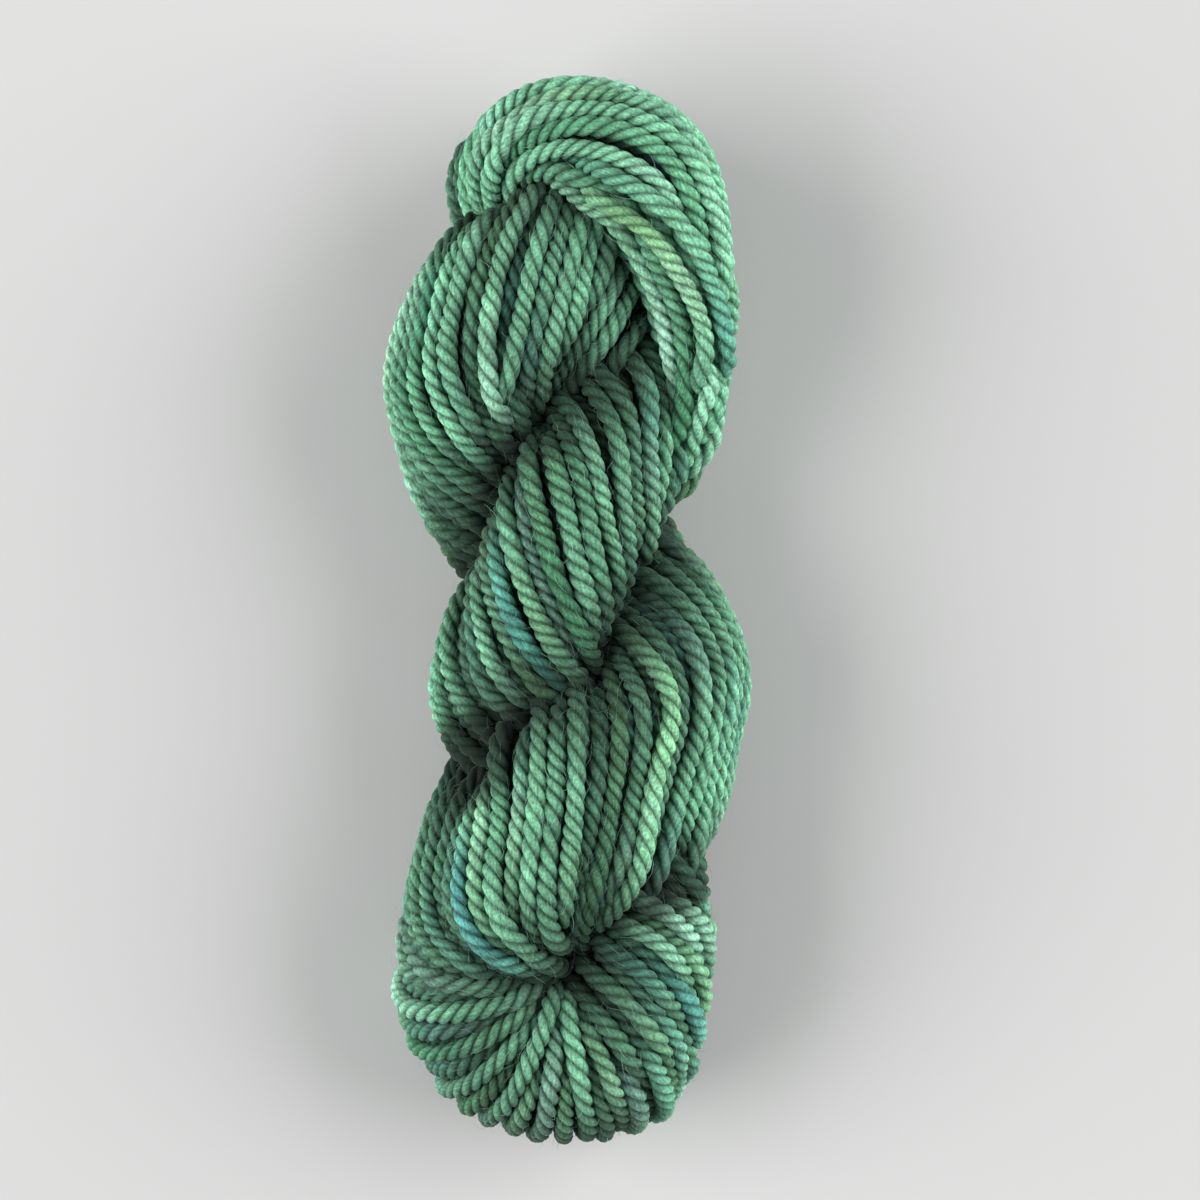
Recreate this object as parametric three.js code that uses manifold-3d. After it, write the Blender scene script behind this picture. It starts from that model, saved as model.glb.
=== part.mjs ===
// A skein of bulky rug yarn: a hank twisted on itself, folded in half and lying on its side.
// Millimetres. +X across the skein, +Y along it from the folded end to the tucked end, +Z up.
import * as THREE from 'three';
import { mergeVertices } from 'three/addons/utils/BufferGeometryUtils.js';
import Module from 'manifold-3d';

// Driving dimensions
const LENGTH_SCALE = 1;
const CENTRE_X = 0.05;
const CENTRE_Y = -1.04;
const FLOOR_Z = 2.4;
const OUTER_ROUNDNESS = 2.1;
const INNER_ROUNDNESS = 2.8;
const SECTION_POINTS = 28;
const SECTION_STEP = 6.2;
const YARN_GREEN = 0x4b966e;

// Each row is one section of a bundle, and a row's numbers follow these names:
// at     distance along the bundle's middle line
// x y z  centre of the section
// turn   direction that the bundle runs in, in degrees round +Z from +X
// side   where the rounder side of the section looks: 0 to the right of the way it runs, 90 up
// thick  half size of the section towards that side
// wide   half size of the section across it
const COLUMNS = ['at', 'x', 'y', 'z', 'turn', 'side', 'thick', 'wide'];

// The first half runs down from the tucked end, winding once and a half round the other half.
const FIRST_HALF = [
  [-12, 13, 124, 27, -95, 540, 7, 10],
  [0, 12, 112, 28, -100, 540, 14, 19],
  [29, -8, 80, 38, -118, 450, 22, 29],
  [57, -24, 50, 32, -97, 360, 23, 27],
  [92, 0, 16, 18, -62, 270, 17, 32],
  [126, 21, -14, 31, -88, 180, 26, 28],
  [161, 3, -48, 40, -120, 90, 22, 38],
  [184, -16, -71, 36, -110, 36, 24, 33],
  [203, -23, -91, 30, -85, 0, 22, 26],
  [219, -16, -107, 28, -45, 0, 22, 25],
  [235, 0, -112, 27, 0, 0, 23, 25],
];

// The second half starts just inside the first at the fold and winds back up to the tucked end.
const SECOND_HALF = [
  [235, -2, -112, 27, 0, 0, 23, 25],
  [251, 13, -107, 28, 44, 0, 22, 25],
  [271, 19, -77, 32, 98, 0, 19, 26],
  [307, 1, -54, 18, 118, -90, 17, 33],
  [342, -14, -34, 30, 97, -180, 20, 27],
  [376, -1, 17, 40, 54, -270, 22, 30],
  [411, 12, 51, 31, 90, -360, 19, 27],
  [439, -4, 78, 18, 118, -450, 17, 30],
  [467, -17, 101, 26, 86, -540, 13, 19],
  [485, -16, 113, 27, 70, -590, 11, 14],
  [496, -11, 120, 28, 52, -620, 5, 7],
];

// The end loop is laid over the top and tucked down the right side.
const END_LOOP = [
  [0, -16, 96, 24, 95, 0, 8, 13],
  [16, -16, 109, 32, 78, 0, 11, 19],
  [32, -8, 115, 37, 38, 0, 15, 22],
  [48, 5, 115, 39, 2, 0, 18, 22],
  [66, 20, 106, 40, -43, 0, 20, 21],
  [86, 27, 88, 39, -70, 0, 15, 21],
  [108, 31, 66, 35, -84, 0, 11, 20],
  [128, 29, 47, 29, -98, 0, 8, 16],
  [146, 20, 31, 22, -121, 0, 5, 8],
];

const wasm = await Module();
wasm.setup();

/** Turns the rows of a table into sections with named values. */
function readSections(table) {
  return table.map((row) => Object.fromEntries(COLUMNS.map((name, i) => [name, row[i]])));
}

/** How fast a value changes with distance at section i of the list. */
function slopeAt(sections, name, i) {
  const before = sections[Math.max(i - 1, 0)];
  const after = sections[Math.min(i + 1, sections.length - 1)];
  return (after[name] - before[name]) / (after.at - before.at);
}

/** The section at any distance along the bundle, eased smoothly between the two rows around it. */
function sectionAt(sections, at) {
  let i = 0;
  while (i < sections.length - 2 && at > sections[i + 1].at) {
    i += 1;
  }
  const from = sections[i];
  const to = sections[i + 1];
  const span = to.at - from.at;
  const t = (at - from.at) / span;
  const rise = t * t * (3 - 2 * t);
  const leave = t * (1 - t) * (1 - t) * span;
  const arrive = t * t * (t - 1) * span;
  const section = { at };
  for (const name of COLUMNS.slice(1)) {
    section[name] = from[name] * (1 - rise) + to[name] * rise
      + slopeAt(sections, name, i) * leave + slopeAt(sections, name, i + 1) * arrive;
  }
  return section;
}

/** A power that keeps the sign, for the rounded outline of a section. */
function signedPower(value, exponent) {
  return Math.sign(value) * Math.abs(value) ** exponent;
}

/** Points round one section, flatter on the side that faces the other bundle. */
function outlineOf(section) {
  const turn = THREE.MathUtils.degToRad(section.turn);
  const side = THREE.MathUtils.degToRad(section.side);
  const right = new THREE.Vector3(Math.sin(turn), -Math.cos(turn), 0);
  const up = new THREE.Vector3(0, 0, 1);
  const outward = right.clone().multiplyScalar(Math.cos(side)).addScaledVector(up, Math.sin(side));
  const across = up.clone().multiplyScalar(Math.cos(side)).addScaledVector(right, -Math.sin(side));
  const points = [];
  for (let k = 0; k < SECTION_POINTS; k += 1) {
    const angle = (2 * Math.PI * k) / SECTION_POINTS;
    const exponent = 2 / (Math.cos(angle) > 0 ? OUTER_ROUNDNESS : INNER_ROUNDNESS);
    const point = new THREE.Vector3(section.x, section.y * LENGTH_SCALE, section.z);
    point.addScaledVector(outward, section.thick * signedPower(Math.cos(angle), exponent));
    point.addScaledVector(across, section.wide * signedPower(Math.sin(angle), exponent));
    points.push(point);
  }
  return points;
}

/** A closed skin through the sections of a bundle, with a fan of triangles over each end. */
function bundleGeometry(table) {
  const sections = readSections(table);
  const start = sections[0].at;
  const end = sections[sections.length - 1].at;
  const steps = Math.round((end - start) / SECTION_STEP);
  const points = [];
  for (let i = 0; i <= steps; i += 1) {
    points.push(...outlineOf(sectionAt(sections, start + ((end - start) * i) / steps)));
  }
  const index = [];
  for (let i = 0; i < steps; i += 1) {
    for (let k = 0; k < SECTION_POINTS; k += 1) {
      const a = i * SECTION_POINTS + k;
      const b = i * SECTION_POINTS + ((k + 1) % SECTION_POINTS);
      index.push(a, b + SECTION_POINTS, b, a, a + SECTION_POINTS, b + SECTION_POINTS);
    }
  }
  const firstCentre = points.length;
  const lastRing = steps * SECTION_POINTS;
  points.push(new THREE.Vector3(sections[0].x, sections[0].y * LENGTH_SCALE, sections[0].z));
  const last = sections[sections.length - 1];
  points.push(new THREE.Vector3(last.x, last.y * LENGTH_SCALE, last.z));
  for (let k = 0; k < SECTION_POINTS; k += 1) {
    const next = (k + 1) % SECTION_POINTS;
    index.push(firstCentre, k, next);
    index.push(firstCentre + 1, lastRing + next, lastRing + k);
  }
  const geometry = new THREE.BufferGeometry();
  geometry.setFromPoints(points);
  geometry.setIndex(index);
  return geometry;
}

/** A manifold solid from a closed geometry. */
function toSolid(geometry) {
  const bare = geometry.clone();
  bare.deleteAttribute('normal');
  bare.deleteAttribute('uv');
  const closed = mergeVertices(bare, 1e-4);
  const vertProperties = new Float32Array(closed.attributes.position.array);
  const triVerts = new Uint32Array(closed.index.array);
  return new wasm.Manifold(new wasm.Mesh({ numProp: 3, vertProperties, triVerts }));
}

/** A three.js geometry from a manifold solid. */
function toGeometry(solid) {
  const mesh = solid.getMesh();
  const geometry = new THREE.BufferGeometry();
  geometry.setAttribute('position', new THREE.BufferAttribute(mesh.vertProperties, 3));
  geometry.setIndex(new THREE.BufferAttribute(mesh.triVerts, 1));
  geometry.computeVertexNormals();
  return geometry;
}

/** The block of space below the surface that the skein lies on. */
function belowFloor() {
  const block = new THREE.BoxGeometry(400, 600, 100);
  block.translate(0, 0, FLOOR_Z - 50);
  return toSolid(block);
}

const joined = [FIRST_HALF, SECOND_HALF, END_LOOP]
  .map((table) => toSolid(bundleGeometry(table)))
  .reduce((sum, solid) => sum.add(solid))
  .subtract(belowFloor());

const geometry = toGeometry(joined);
geometry.translate(-CENTRE_X, -CENTRE_Y, -FLOOR_Z);

const yarn = new THREE.MeshStandardMaterial({ color: YARN_GREEN, roughness: 0.95, metalness: 0 });
const skein = new THREE.Mesh(geometry, yarn);
skein.name = 'skein';

const part = new THREE.Group();
part.add(skein);

export default part;
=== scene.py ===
"""A skein of bulky rug yarn, every strand a three-ply yarn of its own, laid out as a Blender add-on."""
import math

import bpy
import numpy as np
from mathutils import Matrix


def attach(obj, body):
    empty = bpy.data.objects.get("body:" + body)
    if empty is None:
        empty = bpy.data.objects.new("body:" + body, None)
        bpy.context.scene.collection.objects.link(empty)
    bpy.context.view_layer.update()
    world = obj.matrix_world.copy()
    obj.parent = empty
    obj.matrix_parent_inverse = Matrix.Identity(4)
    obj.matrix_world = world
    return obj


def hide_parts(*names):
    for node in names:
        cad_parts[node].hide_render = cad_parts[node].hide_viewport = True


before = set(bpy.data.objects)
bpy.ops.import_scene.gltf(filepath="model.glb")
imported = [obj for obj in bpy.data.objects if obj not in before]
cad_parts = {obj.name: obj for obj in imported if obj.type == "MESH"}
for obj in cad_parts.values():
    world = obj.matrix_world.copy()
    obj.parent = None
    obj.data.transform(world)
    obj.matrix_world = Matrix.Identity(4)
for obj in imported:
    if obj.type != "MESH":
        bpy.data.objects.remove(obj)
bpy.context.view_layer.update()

bl_info = {
    "name": "Skein of rug yarn",
    "version": (1, 0, 0),
    "blender": (4, 5, 0),
    "location": "View3D > Sidebar > Skein",
    "description": "Builds a twisted skein of three-ply yarn strand by strand",
    "category": "Add Mesh",
}

# Lengths below are in millimetres until a mesh is made.
CENTRE = np.array([0.05, -1.04, 2.4])
OUTER_ROUNDNESS = 2.1
INNER_ROUNDNESS = 2.8

# Sections of the skein's bundles. The names of each row's numbers:
# at, distance along the bundle; x, y, z, centre of the section; turn, direction that the bundle runs in;
# side, where the rounder side looks; thick and wide, half sizes towards that side and across it.
FIRST_HALF = (
    (-12, 13, 124, 27, -95, 540, 7, 10),
    (0, 12, 112, 28, -100, 540, 14, 19),
    (29, -8, 80, 38, -118, 450, 22, 29),
    (57, -24, 50, 32, -97, 360, 23, 27),
    (92, 0, 16, 18, -62, 270, 17, 32),
    (126, 21, -14, 31, -88, 180, 26, 28),
    (161, 3, -48, 40, -120, 90, 22, 38),
    (184, -16, -71, 36, -110, 36, 24, 33),
    (203, -23, -91, 30, -85, 0, 22, 26),
    (219, -16, -107, 28, -45, 0, 22, 25),
    (235, 0, -112, 27, 0, 0, 23, 25),
)
SECOND_HALF = (
    (235, -2, -112, 27, 0, 0, 23, 25),
    (251, 13, -107, 28, 44, 0, 22, 25),
    (271, 19, -77, 32, 98, 0, 19, 26),
    (307, 1, -54, 18, 118, -90, 17, 33),
    (342, -14, -34, 30, 97, -180, 20, 27),
    (376, -1, 17, 40, 54, -270, 22, 30),
    (411, 12, 51, 31, 90, -360, 19, 27),
    (439, -4, 78, 18, 118, -450, 17, 30),
    (467, -17, 101, 26, 86, -540, 13, 19),
    (485, -16, 113, 27, 70, -590, 11, 14),
    (496, -11, 120, 28, 52, -620, 5, 7),
)
END_LOOP = (
    (0, -16, 96, 24, 95, 0, 8, 13),
    (16, -16, 109, 32, 78, 0, 11, 19),
    (32, -8, 115, 37, 38, 0, 15, 22),
    (48, 5, 115, 39, 2, 0, 18, 22),
    (66, 20, 106, 40, -43, 0, 20, 21),
    (86, 27, 88, 39, -70, 0, 15, 21),
    (108, 31, 66, 35, -84, 0, 11, 20),
    (128, 29, 47, 29, -98, 0, 8, 16),
    (146, 20, 31, 22, -121, 0, 5, 8),
)
WHOLE_ROPE = FIRST_HALF[:-1] + SECOND_HALF

# Strands that fan out from under the end loop over the first half's right shoulder. Each is a cubic curve:
# start x, y, z; first bend x, y, z; second bend x, y, z; end x, y, z.
SHOULDER = (
    (16, 90, 38, 9, 78, 58, 3, 59, 57, -8, 50, 40),
    (19, 84, 37, 14.5, 75, 56, 7.5, 59, 55, -5, 49, 39),
    (20, 75, 35, 20, 67, 54, 11.5, 58, 52, -2, 50, 38),
)

# The line that both halves wind round: y, x, z.
AXIS = (
    (-134, -2, 29),
    (-91, -2, 30),
    (-52, 3, 30),
    (-18, 4, 31),
    (15, -3, 30),
    (50, -6, 31),
    (80, -6, 29),
    (112, -1, 28),
    (134, 0, 28),
)

# Degrees round the axis by which a strand is turned at its two creases: crest angle, upper, lower.
FIRST_LEAN = (
    (0, -20, 20),
    (60, -26, 26),
    (90, -20, 20),
    (120, -14, -6),
    (150, -8, -30),
    (185, -4, -38),
    (220, 0, -18),
    (260, 0, 0),
    (360, 0, 4),
    (390, 0, 12),
    (420, 0, 14),
    (450, 0, 2),
    (560, 0, 0),
)
SECOND_LEAN = (
    (-620, 0, 0),
    (-400, 6, 0),
    (-330, 8, -4),
    (-285, 12, -14),
    (-250, 14, -24),
    (-215, 12, -40),
    (-180, 6, -42),
    (-140, 0, -10),
    (-100, 0, 0),
    (60, 0, 0),
)

# How far along the bundle a hoop of the fold drifts in a quarter turn: distances along it, and the drifts.
HOOP_SLANT = ((193, 220, 240, 252, 262, 275, 300), (-8, -4, -1, -5, -10, -16, -22))
# Proud strands of the end loop: angle at the start, rise, distance along the loop where it starts.
RIDERS = (
    (40, 2.0, 30),
    (62, 1.6, 36),
)
RIDER_STOP = 134
# Layers of strands: name, depth in yarn sizes, gap between strands, strands round the end loop.
LAYERS = (
    ("outer", 0.5, 5.45, 23),
    ("under_layer", 1.35, 4.9, 20),
    ("inner_layer", 2.2, 5.2, 15),
)
OUTER_LIMIT = 3  # strands less deep than this are in the outer layer

GRID_Y = np.arange(-134, 135, 1.0)
GRID_TURNS = 144
# Past this crest angle the first half's strands curl into the eye.
EYE_ANGLE = 440
# The second half's strands beside the fold stop here, where the fold's own begin: y.
FOLD_TOP = -88
# No strand of a lobe goes past this distance from the skein's middle: y.
LOBE_END = 131
# Deepest that a strand is drawn down into a crease, and that the painted shade counts with.
DEEPEST = 20
# Middle of the eye that the strands dive into, x and y; the eye's painted shade is centred here.
EYE = (-1.5, -88.5)

# Dyes that are mixed into the main one: name, largest share, length of its waves along the yarn.
MIXED_DYES = (
    ("teal", 0.75, 60),
    ("leaf", 0.6, 70),
    ("mist", 0.55, 50),
    ("forest", 0.75, 80),
)
DISPLAY_GAMMA = 2.2


def smooth_rows(table, at):
    """Rows of a table at any distances: a cubic between rows, its slopes taken from the rows around."""
    rows = np.array(table, float)
    key, val = rows[:, 0], rows[:, 1:]
    lo = np.maximum(np.arange(len(key)) - 1, 0)
    hi = np.minimum(np.arange(len(key)) + 1, len(key) - 1)
    slope = (val[hi] - val[lo]) / (key[hi] - key[lo])[:, None]
    at = np.asarray(at, float)
    i = np.clip(np.searchsorted(key, at, side="right") - 1, 0, len(key) - 2)
    span = (key[i + 1] - key[i])[..., None]
    t = (at - key[i])[..., None] / span
    rise = t * t * (3 - 2 * t)
    return (val[i] * (1 - rise) + val[i + 1] * rise
            + slope[i] * t * (1 - t) ** 2 * span + slope[i + 1] * t * t * (t - 1) * span)


def on_bundle(table, at, angle, depth=0.0):
    """Points at `angle` degrees round a bundle's rounded section, `depth` under its skin."""
    at, angle = np.broadcast_arrays(np.asarray(at, float), np.radians(angle))
    x, y, z, turn, side, thick, wide = np.moveaxis(smooth_rows(table, at), -1, 0)
    turn, side = np.radians(turn), np.radians(side)
    c, s = np.cos(angle), np.sin(angle)
    power = 2 / np.where(c > 0, OUTER_ROUNDNESS, INNER_ROUNDNESS)
    out = np.sign(c) * np.abs(c) ** power * np.maximum(thick - depth, 0.5)
    over = np.sign(s) * np.abs(s) ** power * np.maximum(wide - depth, 0.5)
    flat = out * np.cos(side) - over * np.sin(side)
    rise = out * np.sin(side) + over * np.cos(side)
    return np.stack([x + flat * np.sin(turn), y - flat * np.cos(turn), z + rise], -1)


def blur(values, passes, axis):
    """Averages with the neighbours; the angle axis (1) wraps round, the other keeps its ends."""
    for _ in range(passes):
        if axis == 1:
            values = (np.roll(values, 1, 1) + 2 * values + np.roll(values, -1, 1)) / 4
        else:
            pad = np.concatenate([values[:1], values, values[-1:]])
            values = (pad[:-2] + 2 * pad[1:-1] + pad[2:]) / 4
    return values


def reach_map(table):
    """How far a half's skin reaches from the axis: rows by y, columns by angle round the axis."""
    at = np.linspace(table[0][0], table[-1][0], 900)[:, None]
    points = on_bundle(table, at, np.linspace(0, 360, 500, endpoint=False)[None]).reshape(-1, 3)
    middle = smooth_rows(AXIS, points[:, 1])
    dx, dz = points[:, 0] - middle[:, 0], points[:, 2] - middle[:, 1]
    row = np.clip(np.rint(points[:, 1] - GRID_Y[0]).astype(int), 0, len(GRID_Y) - 1)
    col = np.rint(np.degrees(np.arctan2(dz, dx)) % 360 / 360 * GRID_TURNS).astype(int) % GRID_TURNS
    reach = np.zeros((len(GRID_Y), GRID_TURNS))
    np.maximum.at(reach, (row, col), np.hypot(dx, dz))
    wider = np.maximum.reduce([np.roll(reach, k, 1) for k in (-1, 0, 1)])
    reach = np.where(reach > 0, reach, wider)
    return blur(blur(reach, 1, 1), 1, 0)


def lookup(grid, y, theta):
    """Value of a reach map between its cells at y and at theta degrees."""
    fy = np.clip(np.asarray(y, float) - GRID_Y[0], 0, len(GRID_Y) - 1.001)
    ft = np.asarray(theta, float) % 360 / 360 * GRID_TURNS
    j, k = fy.astype(int), ft.astype(int)
    wy, wt = fy - j, ft - k
    k0, k1 = k % GRID_TURNS, (k + 1) % GRID_TURNS
    return ((grid[j, k0] * (1 - wt) + grid[j, k1] * wt) * (1 - wy)
            + (grid[j + 1, k0] * (1 - wt) + grid[j + 1, k1] * wt) * wy)


def round_axis(y, theta, reach):
    """Points at theta degrees and `reach` from the axis that both halves wind round."""
    middle = smooth_rows(AXIS, y)
    a = np.radians(theta)
    return np.stack([middle[:, 0] + reach * np.cos(a), y, middle[:, 1] + reach * np.sin(a)], 1)


def find_band(own, other, table, start, stop):
    """For crest angles from start to stop: y of the crest and of the creases above and below it."""
    rows = np.array(table, float)
    crest_angle = 540 - rows[:, 5] if rows[0, 2] > 0 else rows[:, 5]
    order = np.argsort(crest_angle)
    angle = np.arange(start, stop + 0.1, 5.0)
    crest = np.interp(angle, crest_angle[order], rows[order, 2])
    upper, lower = crest.copy(), crest.copy()
    for i, (a, y) in enumerate(zip(angle, crest)):
        ahead = lookup(own, GRID_Y, a) > lookup(other, GRID_Y, a)
        hidden = GRID_Y[~ahead]
        upper[i] = min(hidden[hidden > y].min(initial=134), y + 48)
        lower[i] = max(hidden[hidden < y].max(initial=-134), y - 48)
    for edge in (upper, lower):
        for _ in range(4):
            edge[1:-1] = (edge[:-2] + 2 * edge[1:-1] + edge[2:]) / 4
    return angle, crest, upper, lower


def evenly(position, speed, gap):
    """Positions about `gap` mm apart, in loose clumps of three; speed is mm for each unit of position."""
    length = np.concatenate([[0], np.cumsum((speed[1:] + speed[:-1]) / 2 * np.diff(position))])
    order = np.arange(int(length[-1] / gap))
    order = order + 0.5 + 0.13 * np.sin(2.1 * order + gap)
    return np.interp(order / len(order) * length[-1], length, position)


def wander(rng, along, size, length):
    """A slow random drift: three sine waves of about `length` mm added up."""
    total = np.zeros_like(along)
    for k in range(3):
        wave = length * rng.uniform(0.7, 1.6)
        total += np.sin(2 * np.pi * along / wave + rng.uniform(0, 2 * np.pi)) / (k + 1)
    return size * total / 1.4


def bezier(ends, t):
    """Cubic curve of one value from four control values."""
    a, b, c, d = ends
    return (1 - t) ** 3 * a + 3 * (1 - t) ** 2 * t * b + 3 * (1 - t) * t * t * c + t ** 3 * d


def soften(values, passes):
    """Smooths a row of values and keeps its two ends."""
    for _ in range(passes):
        values[1:-1] = (values[:-2] + 2 * values[1:-1] + values[2:]) / 4
    return values


def sink_of(rng, depth):
    """How far one outer strand lies under its neighbours: most hardly at all, 36 in 100 by 1.4 to 3.4 mm."""
    if depth > OUTER_LIMIT:
        return 0.0
    return rng.uniform(1.4, 3.4) if rng.random() < 0.36 else rng.uniform(0, 0.7)


def lobe_strands(own, other, table, start, stop, leans, depth, gap, rng, over=10.0):
    """Strands of one half, each from crease to crease: theta of the crest plus a lean, reach from the map,
    and a drop that grows with the square of the distance towards the crease. Those past the eye's angle
    curl round into the eye instead."""
    angle, crest, upper, lower = find_band(own, other, table, start, stop)
    speed = np.radians(1) * lookup(own, crest, angle)
    lean_at, lean_up, lean_low = np.array(leans, float).T
    f = np.linspace(0, 1, 64)
    strands = []
    for i, a in enumerate(evenly(angle, speed, gap)):
        top, low = np.interp(a, angle, upper), np.interp(a, angle, lower)
        if abs(a) < 60:
            low = max(low, FOLD_TOP)
        if a > EYE_ANGLE:
            k = (a - 450) / 90
            first = top + over
            y = bezier((first, first - 0.6 * (first + 86), -75 - 27 * k, -87), f)
            theta = bezier((a, a + 3, 0.72 * a + 0.28 * 455, 452 + 8 * k), f)
            past = np.maximum(y - top, (f - 1) * 60 + 9)
        else:
            y = top + over + (low - top - 2 * over) * f
            t = (top - y) / max(top - low, 1) * 2 - 1
            lean = np.where(t < 0, np.interp(a, lean_at, lean_up), np.interp(a, lean_at, lean_low))
            theta = soften(a + lean * np.abs(t) ** 1.6, 12)
            seen = np.flatnonzero(lookup(own, y, theta) > lookup(other, y, theta))
            middle = seen[np.abs(seen - 32) <= 24]
            if len(middle) > 4:
                top, low = min(top, y[middle[0]]), max(low, y[middle[-1]])
            past = np.maximum(y - top + 4, low - y)
        reach = lookup(own, y, theta)
        real = (reach > 4) & (np.abs(y) < LOBE_END)
        drop = (0.034 + 0.010 * (i % 2)) * np.maximum(past + 13, 0) ** 2
        reach = soften(np.maximum(reach - depth - np.minimum(drop, DEEPEST), 2.0), 3)
        along = f * (top - low + 2 * over)
        drift = wander(rng, along, 1.1, 50) + rng.normal(0, 1.0) * (2 * f - 1)
        theta = theta + np.degrees(drift / np.maximum(reach, 12))
        reach = reach + wander(rng, along, 0.5, 38) - sink_of(rng, depth)
        if real.sum() > 12:
            strands.append(round_axis(y[real], theta[real], reach[real]))
    return strands


def shoulder_strands():
    """The strands of the first half's right shoulder, each one cubic curve through space."""
    t = np.linspace(0, 1, 24)[:, None]
    return [bezier(np.reshape(row, (4, 3)), t) for row in SHOULDER]


def fold_strands(depth, gap, rng):
    """Hoops round the fold's sections, from the eye over the top, round the end and back underneath."""
    strands = []
    angle = np.linspace(158, -158, 70)
    along = np.arange(70) * 2.0
    for i, at in enumerate(np.linspace(210, 300, int(172 / gap))):
        slant = np.interp(at, *HOOP_SLANT)
        run = at + slant * (90 - angle) / 90 + wander(rng, along, 0.4, 40)
        tucked = np.clip((25 - angle) / 30, 0, 1) * np.clip((at - 262) / 12, 0, 1)
        sink = depth + 0.5 * sink_of(rng, depth) + wander(rng, along, 0.4, 40) + 5 * tucked
        sink = sink + (i % 2) * 4.0 * np.clip((angle - 60) / 80, 0, 1)
        strands.append(on_bundle(WHOLE_ROPE, run, angle, sink))
    return strands


def keel_strands(depth, gap, rng):
    """Strands that run along the underside of the first half's last bend, towards the fold: each keeps one
    direction down or left, so its angle round the section is that direction less the section's side."""
    at = np.linspace(146, 222, 46)
    side = smooth_rows(FIRST_HALF, at)[:, 4]
    strands = []
    for direction in np.linspace(-32, -150, int(62 / gap)):
        drift = wander(rng, at - at[0], 1.5, 50)
        ends = np.minimum(at - at[0], at[-1] - at)
        sink = depth + 1.2 + sink_of(rng, depth) + 0.02 * np.maximum(18 - ends, 0) ** 2
        strands.append(on_bundle(FIRST_HALF, at, direction - side + drift, sink))
    return strands


def loop_strands(depth, count, rng):
    """Strands that run the length of the end loop with a slight twist, and in the outer layer two proud ones
    that start on its inner edge and cross to its outer side."""
    at = np.linspace(0, 146, 110)
    strands = []
    for k in range(count):
        angle = 360 * k / count + 0.4 * (at - 70) + wander(rng, at, 2.5, 60)
        sink = depth + sink_of(rng, depth) + wander(rng, at, 0.5, 45)
        strands.append(on_bundle(END_LOOP, at, angle, sink))
    if depth < OUTER_LIMIT:
        for angle, rise, start in RIDERS:
            run = np.linspace(start, RIDER_STOP, 80)
            ends = np.clip(np.minimum(run - start, RIDER_STOP - run) / 20, 0, 1)
            lift = (rise + 8) * ends - 8
            across = angle + np.interp(run, [start, 60, 104, RIDER_STOP], [0, 10, 62, 70])
            strands.append(on_bundle(END_LOOP, run, soften(across, 30), depth - lift))
    return strands


def resample(points, step):
    """A path's points at even steps."""
    length = np.concatenate([[0], np.cumsum(np.linalg.norm(np.diff(points, axis=0), axis=1))])
    at = np.linspace(0, length[-1], max(4, int(length[-1] / step) + 1))
    return np.stack([np.interp(at, length, points[:, k]) for k in range(3)], 1)


def near_pairs(points, strand, reach):
    """Pairs of points of different strands closer than `reach`, found with a grid of cells."""
    cell = np.floor((points - points.min(0)) / reach).astype(np.int64) + 1
    size = cell.max(0) + 2
    key = (cell[:, 0] * size[1] + cell[:, 1]) * size[2] + cell[:, 2]
    order = np.argsort(key, kind="stable")
    ordered = key[order]
    first, second = [], []
    for dx in (-1, 0, 1):
        for dy in (-1, 0, 1):
            for dz in (-1, 0, 1):
                wanted = key + (dx * size[1] + dy) * size[2] + dz
                lo = np.searchsorted(ordered, wanted, "left")
                count = np.searchsorted(ordered, wanted, "right") - lo
                a = np.repeat(np.arange(len(key)), count)
                step = np.arange(count.sum()) - np.repeat(np.cumsum(count) - count, count)
                b = order[np.repeat(lo, count) + step]
                keep = (a < b) & (strand[a] != strand[b])
                first.append(a[keep])
                second.append(b[keep])
    a, b = np.concatenate(first), np.concatenate(second)
    close = np.linalg.norm(points[a] - points[b], axis=1) < reach
    return a[close], b[close]


PATH_STEP = 2.4  # distance between a strand's points as it settles
SEARCH_REACH = 7.0  # neighbours are looked for this near
PRESSED = 0.46  # two strands may lie this share of their summed sizes apart, so a little pressed together
HOME_PULL = 0.06  # share of the way home in each round
STIFFNESS = 0.35  # share of the way to the neighbours' average in each round


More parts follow.
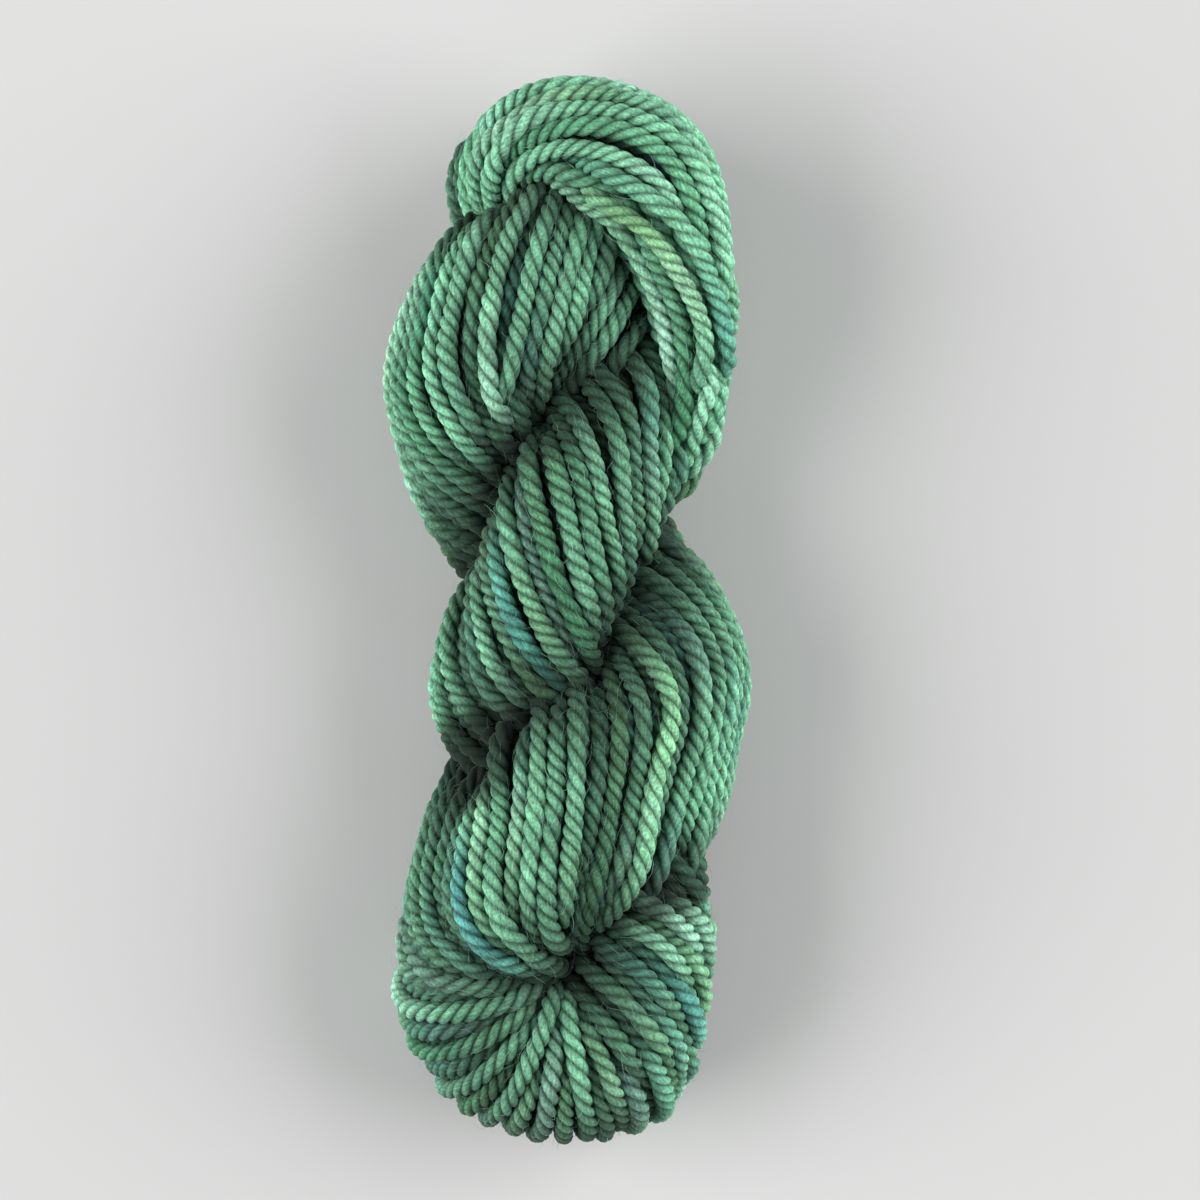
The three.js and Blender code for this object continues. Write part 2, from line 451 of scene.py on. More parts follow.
def settle(strands, sizes, rounds, floor):
    """Pushes strands apart where they overlap, holds them near their designed paths, keeps them smooth and
    above the surface. Every round: half of each overlap to each side, a little of the way home, a little
    towards the average of the two neighbours."""
    paths = [resample(strand, PATH_STEP) for strand in strands]
    strand = np.repeat(np.arange(len(paths)), [len(p) for p in paths])
    size = np.array(sizes)[strand]
    home = np.concatenate(paths)
    points = home.copy()
    inner = np.ones(len(points), bool)
    inner[[0, -1]] = False
    inner[1:] &= strand[1:] == strand[:-1]
    inner[:-1] &= strand[:-1] == strand[1:]
    middle = np.flatnonzero(inner)
    place = np.concatenate([np.minimum(np.arange(len(p)), np.arange(len(p))[::-1]) for p in paths])
    place = place * PATH_STEP
    free = np.clip((place - 3) / 14, 0, 1)[:, None]
    for step in range(rounds):
        if step % 6 == 0:
            a, b = near_pairs(points, strand, SEARCH_REACH)
            room = PRESSED * (size[a] + size[b])
        gap = points[b] - points[a]
        apart = np.maximum(np.linalg.norm(gap, axis=1), 1e-3)
        push = np.maximum(room - apart, 0) / apart
        move = gap * (0.25 * push)[:, None]
        shift = np.zeros_like(points)
        np.add.at(shift, a, -move)
        np.add.at(shift, b, move)
        points += shift * free
        points += HOME_PULL * (home - points)
        bend = (points[middle - 1] + points[middle + 1]) / 2 - points[middle]
        points[middle] += STIFFNESS * bend
        points[:, 2] = np.maximum(points[:, 2], floor + size / 2)
    cuts = np.cumsum([len(p) for p in paths])[:-1]
    return np.split(points, cuts)


def frames_along(points):
    """Tangents and two steady crosswise directions along a path, carried from point to point."""
    tangent = np.gradient(points, axis=0)
    tangent /= np.linalg.norm(tangent, axis=1)[:, None]
    side = np.zeros_like(points)
    start = np.cross(tangent[0], [0.0, 0.0, 1.0])
    if np.linalg.norm(start) < 0.2:
        start = np.cross(tangent[0], [1.0, 0.0, 0.0])
    side[0] = start / np.linalg.norm(start)
    for i in range(1, len(points)):
        v = side[i - 1] - tangent[i] * (side[i - 1] @ tangent[i])
        side[i] = v / np.linalg.norm(v)
    return tangent, side, np.cross(tangent, side)


def smooth_path(points, step):
    """A path's points at a finer even step, on a cubic through them."""
    length = np.concatenate([[0], np.cumsum(np.linalg.norm(np.diff(points, axis=0), axis=1))])
    table = np.concatenate([length[:, None], points], 1)
    at = np.linspace(0, length[-1], max(6, int(length[-1] / step) + 1))
    return at, smooth_rows(table, at)


# Radius of each of three equal circles that fill a circle of radius 1: 1 / (1 + 2 / sqrt 3).
PLY_SHARE = 0.4641


def plied_yarn(points, size, pitch, ply_points, step, rng):
    """Rings of one strand of three-ply yarn. A ply's section is a circle of radius p whose centre lies c
    from the middle, so at angle a from its crest the radius is c cos a + sqrt(p^2 - c^2 sin^2 a); half of the
    groove is filled in with wool. Each ring turns back by its distance over the pitch, so the mesh's lines
    follow the plies."""
    along, path = smooth_path(points, step)
    tangent, side, over = frames_along(path)
    ply = size / 2 * PLY_SHARE
    centre = size / 2 - ply
    k = np.arange(3 * ply_points)
    within = (k % ply_points) / ply_points * (math.pi * 2 / 3) - math.pi / 3
    bumpy = centre * np.cos(within) + np.sqrt(np.maximum(ply ** 2 - (centre * np.sin(within)) ** 2, 0))
    radius = 0.5 * bumpy + 0.5 * size / 2
    groove = (np.abs(within) / (math.pi / 3)) ** 2
    twist = along + wander(rng, along, 1.8, 45)
    turn = rng.uniform(0, 2 * np.pi) + 2 * np.pi * (k[None] / len(k) - twist[:, None] / pitch)
    breathe = 1 + wander(rng, along, 0.06, 20)[:, None]
    taper = np.clip(np.minimum(along, along[-1] - along) / 3.0 + 0.1, 0, 1)[:, None] ** 0.5
    r = radius[None] * breathe * taper
    ring = (path[:, None] + (r * np.cos(turn))[..., None] * side[:, None]
            + (r * np.sin(turn))[..., None] * over[:, None])
    return along, ring, groove


def linear(colour):
    """A display colour as linear light: each channel to the power 2.2."""
    return np.array(colour) ** DISPLAY_GAMMA


def dye_and_painted_shade_along(rng, along, path, settings):
    """The yarn's colour along its length: slow waves mix the dyes, as on hand-painted wool, and the wool is
    darker along the skein's middle than at its sides: painted shade in the middle, painted light at the
    sides."""
    base = np.repeat(linear(settings.emerald)[None], len(along), 0)
    for name, share, reach in MIXED_DYES:
        bias = rng.normal(-0.25, 0.45)
        weight = np.clip(wander(rng, along, 0.45, reach) + bias, 0, 1)[:, None] * share
        base = base * (1 - weight) + linear(getattr(settings, name)) * weight
    tone = rng.uniform(0.87, 1.36) * (1 + wander(rng, along, 0.12, 16))
    # Painted shade and painted light: the colour is 0.84 along the skein's middle and up to 1.2 at its sides.
    off_middle = np.clip((np.abs(path[:, 0] - 2) - 8) / 28, 0, 1)
    return base * (tone * (0.84 + 0.36 * off_middle))[:, None]


def fill_mesh(name, points, faces, material):
    """A mesh object from points in millimetres of the design frame, none left under the surface that the
    skein lies on, and arrays of faces, each array's faces with one number of sides."""
    mesh = bpy.data.meshes.new(name)
    points = np.column_stack([points[:, :2], np.maximum(points[:, 2], CENTRE[2])])
    points = (points - CENTRE) / 1000
    mesh.vertices.add(len(points))
    mesh.vertices.foreach_set("co", points.astype(np.float32).ravel())
    corners = np.concatenate([f.ravel() for f in faces]).astype(np.int32)
    sides = np.concatenate([np.full(len(f), f.shape[1]) for f in faces])
    starts = np.concatenate([[0], np.cumsum(sides)[:-1]]).astype(np.int32)
    mesh.loops.add(len(corners))
    mesh.loops.foreach_set("vertex_index", corners)
    mesh.polygons.add(len(sides))
    mesh.polygons.foreach_set("loop_start", starts)
    mesh.update(calc_edges=True)
    mesh.polygons.foreach_set("use_smooth", np.ones(len(sides), bool))
    mesh.materials.append(material)
    piece = bpy.data.objects.new(name, mesh)
    bpy.context.scene.collection.objects.link(piece)
    return piece


def valley_shade(centre, angle):
    """Painted shade of the creases and the eye: 1 - 0.85 exp(-(difference of the two halves' reaches /
    4.6)^2), which fades out over the fold, times 1 - 0.85 exp(-(distance to the eye / 9)^2) on the upper
    side, times
    1 - 0.45 exp(-(gap to the end loop / 5)^2) beside the end loop."""
    apart = lookup(DESIGN["meeting"], centre[:, 1], angle)
    off_fold = np.clip((centre[:, 1] + 92) / 10, 0, 1)
    crease = 1 - 0.85 * off_fold * np.exp(-(apart / 4.6) ** 2)
    eye = np.hypot(centre[:, 0] - EYE[0], centre[:, 1] - EYE[1])
    loop = smooth_rows(END_LOOP, np.linspace(12, 146, 60))
    away = np.linalg.norm(centre[:, None] - loop[None, :, :3], axis=2) - (loop[:, 5] + loop[:, 6])[None] / 2
    under_loop = np.exp(-(np.maximum(away.min(1), 0) / 5) ** 2)
    pit = 1 - 0.85 * np.exp(-(eye / 9) ** 2) * (centre[:, 2] > 20)
    return crease * pit * (1 - 0.45 * under_loop)


def add_dye_and_painted_shade(mesh, dyes):
    """Stores a colour for each point of a mesh as its dye attribute: the dye with the painted shade
    multiplied in.
    """
    colour = mesh.attributes.new("dye", "FLOAT_COLOR", "POINT")
    with_alpha = np.column_stack([dyes, np.ones(len(dyes))])
    colour.data.foreach_set("color", with_alpha.astype(np.float32).ravel())


def buried_shade(ring, size, name):
    """Painted shade: how dark each point's colour is made for lying under the skein's skin. Depth = the
    strand's own depth under the skin plus its distance below the strand's outermost side; the painted shade
    falls from 1 with depth, to 0.12."""
    centre = ring.mean(1)
    if name == "end_loop":
        spine = smooth_rows(END_LOOP, np.linspace(0, 146, 74))[:, :3]
        near = np.linalg.norm(centre[:, None] - spine[None], axis=2).argmin(1)
        outward = centre - spine[near]
        under = np.zeros(len(centre))
        valley = 1.0
    else:
        middle = smooth_rows(AXIS, centre[:, 1])
        across, rise = centre[:, 0] - middle[:, 0], centre[:, 2] - middle[:, 1]
        outward = np.stack([across, np.zeros(len(centre)), rise], 1)
        angle = np.degrees(np.arctan2(outward[:, 2], outward[:, 0]))
        under = lookup(DESIGN["skin"], centre[:, 1], angle) - np.linalg.norm(outward, axis=1) - size / 2
        valley = valley_shade(centre, angle)[:, None]
    outward = outward / np.maximum(np.linalg.norm(outward, axis=1), 1e-6)[:, None]
    lift = ((ring - centre[:, None]) * outward[:, None]).sum(2)
    depth = np.clip(under, 0, DEEPEST)[:, None] + size / 2 - lift
    # Painted shade of depth, times the painted shade of the creases, the eye and beside the end loop.
    return valley * (0.12 + 0.88 * np.exp(-(np.maximum(depth - 0.7, 0) / 2.3)))


def make_piece(name, strands, sizes, ply_points, step, material, settings, rng):
    """One mesh of many strands: rings joined by quads and closed by flat caps, with the dye (times the
    painted shade) and the groove as attributes and a UV that runs along each strand and round it."""
    rings, quads, caps, dyes, grooves, uvs = [], [], [], [], [], []
    around = 3 * ply_points
    pitch = settings.ply_pitch * 1000
    base = 0
    for path, size in zip(strands, sizes):
        along, ring, groove = plied_yarn(path, size, pitch, ply_points, step, rng)
        n = len(along)
        ply_tone = np.repeat(rng.uniform(0.92, 1.08, 3), ply_points)
        j, k = np.meshgrid(np.arange(n - 1), np.arange(around), indexing="ij")
        a = base + j * around + k
        b = base + j * around + (k + 1) % around
        quads.append(np.stack([a, b, b + around, a + around], -1).reshape(-1, 4))
        first = base + np.arange(around)
        caps.append(np.stack([first[::-1], first + (n - 1) * around]))
        u = along / pitch + rng.uniform(0, 40)
        v = np.stack([k, k + 1, k + 1, k], -1) / around - np.stack([u[j], u[j], u[j + 1], u[j + 1]], -1)
        uvs.append(np.stack([np.stack([u[j], u[j], u[j + 1], u[j + 1]], -1), v], -1).reshape(-1, 2))
        rings.append(ring.reshape(-1, 3))
        # Painted shade from buried_shade, times a random tone for each ply; it is multiplied into the dye
        # below.
        tone = buried_shade(ring, size, name) * ply_tone[None]
        dye = dye_and_painted_shade_along(rng, along, ring.mean(1), settings)
        dyes.append((dye[:, None] * tone[..., None]).reshape(-1, 3))
        grooves.append(np.broadcast_to(groove, (n, around)).reshape(-1))
        base += n * around
    caps = np.concatenate(caps)
    piece = fill_mesh(name, np.concatenate(rings), [np.concatenate(quads), caps], material)
    mesh = piece.data
    add_dye_and_painted_shade(mesh, np.concatenate(dyes))
    grooves = np.concatenate(grooves)
    groove = mesh.attributes.new("groove", "FLOAT", "POINT")
    groove.data.foreach_set("value", grooves.astype(np.float32))
    layer = mesh.uv_layers.new(name="strand")
    uv = np.concatenate(uvs + [np.zeros((caps.size, 2))])
    layer.data.foreach_set("uv", uv.astype(np.float32).ravel())
    edges = np.zeros(len(mesh.edges) * 2, np.int32)
    mesh.edges.foreach_get("vertices", edges)
    edges = np.sort(edges.reshape(-1, 2), 1)
    sharp = (edges[:, 1] - edges[:, 0] == around) & (grooves[edges[:, 0]] > 0.9)
    crease = mesh.attributes.new("sharp_edge", "BOOLEAN", "EDGE")
    crease.data.foreach_set("value", sharp)
    return piece


def attribute(nodes, name):
    """A node that reads one of the piece's own attributes."""
    node = nodes.new("ShaderNodeAttribute")
    node.attribute_name = name
    return node


def noise(nodes, links, vector, **sizes):
    """A noise texture read at a vector, with its inputs set by name."""
    node = nodes.new("ShaderNodeTexNoise")
    for name, value in sizes.items():
        node.inputs[name].default_value = value
    links.new(vector, node.inputs["Vector"])
    return node


def map_range(nodes, links, value, source, target):
    """A value moved from the range `source` to the range `target`."""
    node = nodes.new("ShaderNodeMapRange")
    for name, number in zip(("From Min", "From Max", "To Min", "To Max"), source + target):
        node.inputs[name].default_value = number
    links.new(value, node.inputs["Value"])
    return node.outputs[0]


def multiply(nodes, links, first, second):
    """The product of two values."""
    node = nodes.new("ShaderNodeMath")
    node.operation = "MULTIPLY"
    links.new(first, node.inputs[0])
    links.new(second, node.inputs[1])
    return node.outputs[0]


def yarn_material(settings):
    """Wool: the dye, with painted shade in the grooves, streaked by fibres along the plies, with a soft
    sheen.
    """
    material = bpy.data.materials.new("wool_yarn")
    material.use_nodes = True
    nodes, links = material.node_tree.nodes, material.node_tree.links
    nodes.clear()
    out = nodes.new("ShaderNodeOutputMaterial")
    wool = nodes.new("ShaderNodeBsdfPrincipled")
    wool.inputs["Roughness"].default_value = 0.85
    wool.inputs["Specular IOR Level"].default_value = 0.25
    wool.inputs["Sheen Weight"].default_value = settings.sheen
    wool.inputs["Sheen Roughness"].default_value = 0.45
    wool.inputs["Sheen Tint"].default_value = (0.6, 1.0, 0.75, 1)
    links.new(wool.outputs[0], out.inputs["Surface"])
    uv = nodes.new("ShaderNodeUVMap")
    uv.uv_map = "strand"
    stretch = nodes.new("ShaderNodeVectorMath")
    stretch.operation = "MULTIPLY"
    stretch.inputs[1].default_value = (3.5, 26.0, 1.0)
    links.new(uv.outputs[0], stretch.inputs[0])
    fibre = noise(nodes, links, stretch.outputs[0], Scale=1.0, Detail=3.0, Roughness=0.6)
    fibre.noise_dimensions = "2D"
    place = nodes.new("ShaderNodeTexCoord")
    fluff = noise(nodes, links, place.outputs["Object"], Scale=1300.0, Detail=1.0)
    streak = map_range(nodes, links, fibre.outputs["Fac"], (0.3, 0.7), (0.66, 1.34))
    mottle = map_range(nodes, links, fluff.outputs["Fac"], (0.3, 0.7), (0.72, 1.28))
    # Painted shade in the ply grooves: the colour falls to 0.36 at a groove's bottom.
    shade = map_range(nodes, links, attribute(nodes, "groove").outputs["Fac"], (0.0, 1.0), (1.0, 0.36))
    grain = multiply(nodes, links, streak, mottle)
    tint = nodes.new("ShaderNodeVectorMath")
    tint.operation = "SCALE"
    # The dye attribute holds the dye with the painted shade multiplied in.
    links.new(attribute(nodes, "dye").outputs["Color"], tint.inputs[0])
    links.new(multiply(nodes, links, grain, shade), tint.inputs["Scale"])
    links.new(tint.outputs[0], wool.inputs["Base Color"])
    bump = nodes.new("ShaderNodeBump")
    bump.inputs["Strength"].default_value = 0.6
    bump.inputs["Distance"].default_value = 0.0003
    links.new(fibre.outputs["Fac"], bump.inputs["Height"])
    links.new(bump.outputs[0], wool.inputs["Normal"])
    return material


def fibre_material():
    """Stray fibres: their dye attribute alone, the mist dye with painted shade, matte."""
    material = bpy.data.materials.new("stray_fibre")
    material.use_nodes = True
    wool = material.node_tree.nodes["Principled BSDF"]
    wool.inputs["Roughness"].default_value = 0.8
    wool.inputs["Specular IOR Level"].default_value = 0.2
    dye = attribute(material.node_tree.nodes, "dye")
    material.node_tree.links.new(dye.outputs["Color"], wool.inputs["Base Color"])
    return material


OUTER_GROUPS = ("first_half", "second_half", "fold", "end_loop")
# What design_skein last worked out, and the settings that it was for.
DESIGN = {}


def design_skein(settings):
    """All strands by group, worked out once for its settings: the outer ones settled together, and two
    layers under them."""
    key = (settings.seed, settings.yarn_size, settings.settle_rounds)
    if DESIGN.get("key") == key:
        return DESIGN
    DESIGN["key"] = key
    rng = np.random.default_rng(settings.seed)
    first, second = reach_map(FIRST_HALF), reach_map(SECOND_HALF)
    DESIGN["skin"] = np.maximum(first, second)
    DESIGN["meeting"] = np.abs(first - second)
    size = settings.yarn_size * 1000
    low = CENTRE[2] + size / 2
    groups, outer = [], []
    for layer, sizes_deep, gap, count in LAYERS:
        depth = size * sizes_deep
        made = {
            "first_half": lobe_strands(first, second, FIRST_HALF, 10, 572, FIRST_LEAN, depth, gap, rng),
            "second_half": lobe_strands(second, first, SECOND_HALF, -560, 10, SECOND_LEAN, depth, gap, rng),
            "fold": fold_strands(depth, gap, rng) + keel_strands(depth, gap, rng),
            "end_loop": loop_strands(depth, count, rng),
        }
        if layer == "outer":
            made["first_half"] += shoulder_strands()
        every = [path for paths in made.values() for path in paths]
        if layer == "outer":
            outer = every
            groups = [name for name, paths in made.items() for _ in paths]
        else:
            every = [np.column_stack([path[:, :2], np.maximum(path[:, 2], low)]) for path in every]
            DESIGN[layer] = (every, np.full(len(every), size))
    sizes = size * rng.uniform(0.92, 1.1, len(outer))
    settled = settle(outer, sizes, settings.settle_rounds, CENTRE[2])
    for name in OUTER_GROUPS:
        pick = [i for i, g in enumerate(groups) if g == name]
        DESIGN[name] = ([settled[i] for i in pick], sizes[pick])
    return DESIGN


def build_group(context, name, ply_points, step):
    """Makes one group's piece, attaches it to the root body and hides the CAD part skein that it replaces."""
    settings = context.scene.skein_settings
    strands, sizes = design_skein(settings)[name]
    material = bpy.data.materials.get("wool_yarn") or yarn_material(settings)
    rng = np.random.default_rng(settings.seed + sum(map(ord, name)))
    piece = make_piece(name, strands, sizes, ply_points, step, material, settings, rng)
    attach(piece, "root")
    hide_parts("skein")
    return piece


class SkeinSettings(bpy.types.PropertyGroup):
    """Sizes of the yarn and the skein's making."""

    yarn_size: bpy.props.FloatProperty(
        name="Yarn size", description="Thickness of the yarn", default=0.005, unit="LENGTH")
    ply_pitch: bpy.props.FloatProperty(
        name="Ply pitch", description="Length of one turn of a ply", default=0.0118, unit="LENGTH")
    sheen: bpy.props.FloatProperty(
        name="Sheen", description="Soft light on the wool's edges", default=0.12, subtype="FACTOR")
    settle_rounds: bpy.props.IntProperty(
        name="Settle rounds", description="Rounds of pushing strands apart", default=48)
    fibre_count: bpy.props.IntProperty(
        name="Stray fibres", description="Number of loose fibres", default=9600)
    fibre_size: bpy.props.FloatProperty(
        name="Fibre size", description="Thickness of a loose fibre", default=0.00007, unit="LENGTH")
    seed: bpy.props.IntProperty(name="Seed", description="Seed of the wander and dyes", default=7)
    emerald: bpy.props.FloatVectorProperty(
        name="Emerald dye", description="Main colour of the wool", default=(0.45, 0.69, 0.55),
        subtype="COLOR_GAMMA", min=0, max=1)
    teal: bpy.props.FloatVectorProperty(
        name="Teal dye", description="Bluest of the mixed dyes", default=(0.24, 0.50, 0.53),
        subtype="COLOR_GAMMA", min=0, max=1)
    leaf: bpy.props.FloatVectorProperty(
        name="Leaf dye", description="Yellow-green of the mixed dyes", default=(0.55, 0.76, 0.50),
        subtype="COLOR_GAMMA", min=0, max=1)
    mist: bpy.props.FloatVectorProperty(
        name="Mist dye", description="Palest dye, and the loose fibres", default=(0.68, 0.87, 0.78),
        subtype="COLOR_GAMMA", min=0, max=1)
    forest: bpy.props.FloatVectorProperty(
        name="Forest dye", description="Darkest of the mixed dyes", default=(0.25, 0.50, 0.35),
        subtype="COLOR_GAMMA", min=0, max=1)


class StageSettings(bpy.types.PropertyGroup):
    """The floor, lights and camera."""

    camera_height: bpy.props.FloatProperty(
        name="Camera height", description="Height of the camera over the floor", default=1.2, unit="LENGTH")
    view_width: bpy.props.FloatProperty(
        name="View width", description="Width of the view at the skein's middle", default=0.3, unit="LENGTH")
    key_power: bpy.props.FloatProperty(
        name="Key light", description="Power of the main light", default=2200.0, unit="POWER")
    floor_colour: bpy.props.FloatVectorProperty(
        name="Floor colour", description="Colour of the pale floor", default=(0.56, 0.557, 0.55),
        subtype="COLOR", min=0, max=1)


class SKEIN_OT_first_half(bpy.types.Operator):
    """Build the strands of the half that ends in the fold's left side"""

    bl_idname = "skein.first_half"
    bl_label = "First half"

    def execute(self, context):
        build_group(context, "first_half", 4, 1.0)
        return {"FINISHED"}


class SKEIN_OT_second_half(bpy.types.Operator):
    """Build the strands of the half that winds back from the fold"""

    bl_idname = "skein.second_half"
    bl_label = "Second half"

    def execute(self, context):
        build_group(context, "second_half", 4, 1.0)
        return {"FINISHED"}


class SKEIN_OT_fold(bpy.types.Operator):
    """Build the strands that come out of the eye and round the folded end"""

    bl_idname = "skein.fold"
    bl_label = "Fold"

    def execute(self, context):
        build_group(context, "fold", 4, 1.0)
        return {"FINISHED"}


class SKEIN_OT_end_loop(bpy.types.Operator):
    """Build the strands of the end loop laid over the top"""

    bl_idname = "skein.end_loop"
    bl_label = "End loop"

    def execute(self, context):
        build_group(context, "end_loop", 4, 1.0)
        return {"FINISHED"}


class SKEIN_OT_under_layer(bpy.types.Operator):
    """Build the strands under the outer ones, which show between them"""

    bl_idname = "skein.under_layer"
    bl_label = "Under layer"

    def execute(self, context):
        build_group(context, "under_layer", 2, 2.0)
        return {"FINISHED"}


class SKEIN_OT_inner_layer(bpy.types.Operator):
    """Build the deeper strands, which close the gaps of the layer over them"""

    bl_idname = "skein.inner_layer"
    bl_label = "Inner layer"

    def execute(self, context):
        build_group(context, "inner_layer", 2, 3.0)
        return {"FINISHED"}


class SKEIN_OT_stray_fibres(bpy.types.Operator):
    """Build the loose fibres that stand off the yarn"""

    bl_idname = "skein.stray_fibres"
    bl_label = "Stray fibres"

    def execute(self, context):
        settings = context.scene.skein_settings
        rng = np.random.default_rng(settings.seed + 99)
        design = design_skein(settings)
        total = sum(len(design[name][0]) for name in OUTER_GROUPS)
        paths, outs, shades = [], [], []
        for name in OUTER_GROUPS:
            strands, sizes = design[name]
            path, out = fibre_paths(strands, sizes, settings.fibre_count * len(strands) // total, rng)
            paths.append(path)
            outs.append(out)
            # Painted shade at each fibre's root, from buried_shade.
            shades.append(buried_shade(path[:, :1], 0.0, name)[:, 0])
        paths, outs, shades = (np.concatenate(part) for part in (paths, outs, shades))
        piece = make_fibres(paths, outs, shades, settings, rng)
        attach(piece, "root")
        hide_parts("skein")
        return {"FINISHED"}


def fibre_paths(strands, sizes, count, rng):
    """Loose fibres: each leaves a strand's skin, arcs out and comes back near it. Point at t of a fibre =
    root + run t along the strand + lift sin(0.8 pi t) outward + curl t^2 sideways."""
    t = np.linspace(0, 1, 4)[:, None]
    paths, outs = np.zeros((count, 4, 3)), np.zeros((count, 3))
    for i, pick in enumerate(rng.integers(0, len(strands), count)):
        strand = strands[pick]
        j = rng.integers(1, len(strand) - 1)
        tangent = strand[j + 1] - strand[j - 1]
        tangent /= np.linalg.norm(tangent)
        out = rng.normal(size=3)
        out[2] = abs(out[2]) + 0.4
        out -= tangent * (out @ tangent)
        out /= np.linalg.norm(out)
        run = tangent * rng.choice((-1, 1)) * rng.uniform(1.5, 7)
        curl = np.cross(tangent, out) * rng.normal(0, 1.8)
        paths[i] = (strand[j] + out * sizes[pick] * 0.44 + run * t
                    + out * rng.uniform(0.3, 2.0) * np.sin(np.pi * 0.8 * t) + curl * t ** 2)
        outs[i] = out
    return paths, outs


def make_fibres(path, out, shade, settings, rng):
    """One mesh of the loose fibres, each a three-sided hair that tapers to a quarter of its root's size."""
    count, steps = path.shape[:2]
    tangent = np.gradient(path, axis=1)
    tangent /= np.linalg.norm(tangent, axis=2)[..., None]
    across = np.cross(tangent, out[:, None])
    across /= np.linalg.norm(across, axis=2)[..., None]
    over = np.cross(tangent, across)
    t = np.linspace(0, 1, steps)[None, :, None]
    r = settings.fibre_size * 1000 / 2 * (1 - 0.75 * t) * rng.uniform(0.7, 1.4, (count, 1, 1))
    corner = np.arange(3) * 2 * np.pi / 3
    ring = path[:, :, None] + r[:, :, None] * (np.cos(corner)[:, None] * across[:, :, None]
                                               + np.sin(corner)[:, None] * over[:, :, None])
    h, j, k = np.meshgrid(np.arange(count), np.arange(steps - 1), np.arange(3), indexing="ij")
    a = (h * steps + j) * 3 + k
    b = (h * steps + j) * 3 + (k + 1) % 3
    quads = np.stack([a, b, b + 3, a + 3], -1).reshape(-1, 4)
    root = (np.arange(count) * steps * 3)[:, None] + np.array([2, 1, 0])
    tip = (np.arange(count) * steps * 3)[:, None] + (steps - 1) * 3 + np.array([0, 1, 2])
    piece = fill_mesh("stray_fibres", ring.reshape(-1, 3), [quads, root, tip], fibre_material())
    # Painted shade: the mist dye darkened by the painted shade at the fibre's root, with a random tone.
    pale = linear(settings.mist) * (0.3 + 0.7 * shade[:, None]) * rng.uniform(0.6, 1.1, (count, 1))
    add_dye_and_painted_shade(piece.data, np.repeat(pale, steps * 3, 0))
    return piece


# The stage, in metres. The lamps stand far off, so that the floor under them is hardly brighter.
KEY_PLACE = (11, 2.25, 6.5)
FILL_PLACE = (-11, -1, 6.5)
FILL_SHARE = 1.1
LAMP_SIZE = 13
LAMP_TARGET = (0, 0, 0.02)
CAMERA_X, CAMERA_Y = 0.00845, 0.00354
SKEIN_MIDDLE = 0.03
SENSOR_WIDTH = 36  # millimetres


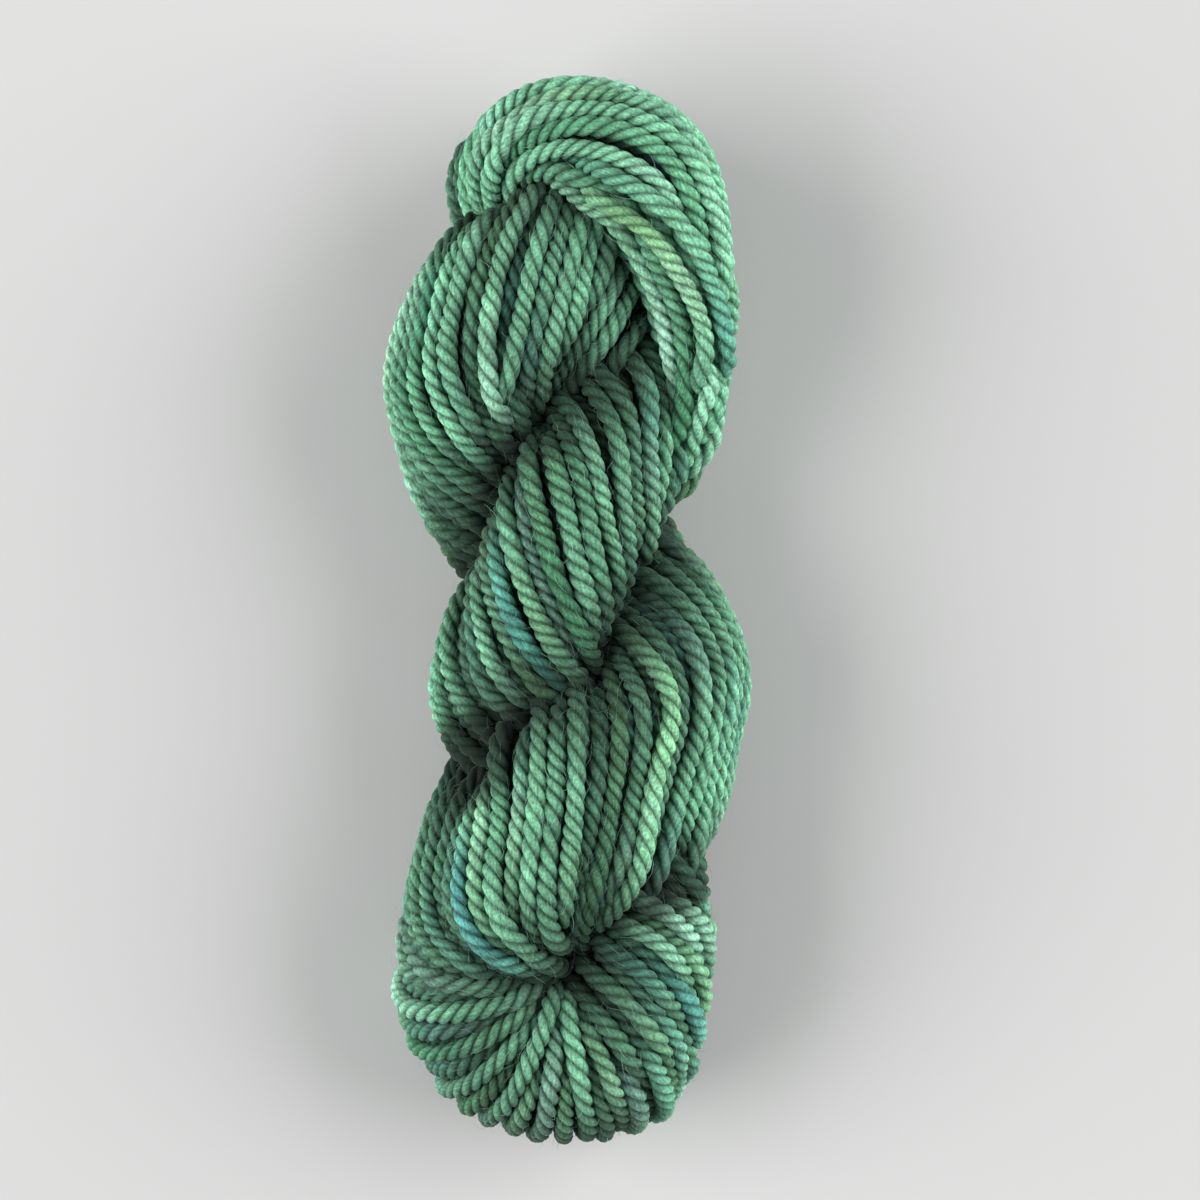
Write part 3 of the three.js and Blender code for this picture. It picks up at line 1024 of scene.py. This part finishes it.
class SKEIN_OT_stage(bpy.types.Operator):
    """Set the pale floor, the soft lights and the camera straight above"""

    bl_idname = "skein.stage"
    bl_label = "Stage"

    def execute(self, context):
        stage = context.scene.stage_settings
        mesh = bpy.data.meshes.new("floor")
        mesh.from_pydata([(-3, -3, 0), (3, -3, 0), (3, 3, 0), (-3, 3, 0)], [], [(0, 1, 2, 3)])
        floor = bpy.data.objects.new("floor", mesh)
        context.scene.collection.objects.link(floor)
        paper = bpy.data.materials.new("pale_floor")
        paper.use_nodes = True
        coat = paper.node_tree.nodes["Principled BSDF"]
        coat.inputs["Base Color"].default_value = (*stage.floor_colour, 1)
        coat.inputs["Roughness"].default_value = 0.9
        mesh.materials.append(paper)
        add_area("key", KEY_PLACE, stage.key_power)
        add_area("fill", FILL_PLACE, stage.key_power * FILL_SHARE)
        world = bpy.data.worlds.new("studio")
        world.use_nodes = True
        world.node_tree.nodes["Background"].inputs["Color"].default_value = (0.95, 0.97, 1.0, 1)
        world.node_tree.nodes["Background"].inputs["Strength"].default_value = 0.3
        context.scene.world = world
        lens = bpy.data.cameras.new("camera")
        lens.sensor_width = SENSOR_WIDTH
        lens.lens = SENSOR_WIDTH * (stage.camera_height - SKEIN_MIDDLE) / stage.view_width
        camera = bpy.data.objects.new("camera", lens)
        camera.location = (CAMERA_X, CAMERA_Y, stage.camera_height)
        context.scene.collection.objects.link(camera)
        context.scene.camera = camera
        context.scene.view_settings.view_transform = "Standard"
        return {"FINISHED"}


def add_area(name, place, power):
    """A square soft light at a place, aimed at the skein's middle."""
    light = bpy.data.lights.new(name, "AREA")
    light.size = LAMP_SIZE
    light.energy = power
    lamp = bpy.data.objects.new(name, light)
    lamp.location = place
    away = np.array(place, float) - np.array(LAMP_TARGET, float)
    lamp.rotation_euler = (math.atan2(math.hypot(away[0], away[1]), away[2]), 0,
                           math.atan2(away[1], away[0]) + math.pi / 2)
    bpy.context.scene.collection.objects.link(lamp)


class SKEIN_PT_panel(bpy.types.Panel):
    """The skein's settings and steps"""

    bl_label = "Skein of rug yarn"
    bl_idname = "SKEIN_PT_panel"
    bl_space_type = "VIEW_3D"
    bl_region_type = "UI"
    bl_category = "Skein"

    def draw(self, context):
        for name in SkeinSettings.__annotations__:
            self.layout.prop(context.scene.skein_settings, name)
        for name in StageSettings.__annotations__:
            self.layout.prop(context.scene.stage_settings, name)
        for operator in OPERATORS:
            self.layout.operator(operator.bl_idname)


OPERATORS = (SKEIN_OT_stage, SKEIN_OT_first_half, SKEIN_OT_second_half, SKEIN_OT_fold, SKEIN_OT_end_loop,
             SKEIN_OT_under_layer, SKEIN_OT_inner_layer, SKEIN_OT_stray_fibres)
CLASSES = (SkeinSettings, StageSettings) + OPERATORS + (SKEIN_PT_panel,)


def register():
    for item in CLASSES:
        bpy.utils.register_class(item)
    bpy.types.Scene.skein_settings = bpy.props.PointerProperty(type=SkeinSettings)
    bpy.types.Scene.stage_settings = bpy.props.PointerProperty(type=StageSettings)


def unregister():
    del bpy.types.Scene.stage_settings
    del bpy.types.Scene.skein_settings
    for item in reversed(CLASSES):
        bpy.utils.unregister_class(item)


def main():
    """Builds the stage and every piece in order."""
    register()
    bpy.ops.skein.stage()
    bpy.ops.skein.first_half()
    bpy.ops.skein.second_half()
    bpy.ops.skein.fold()
    bpy.ops.skein.end_loop()
    bpy.ops.skein.under_layer()
    bpy.ops.skein.inner_layer()
    bpy.ops.skein.stray_fibres()


if __name__ == "__main__":
    main()
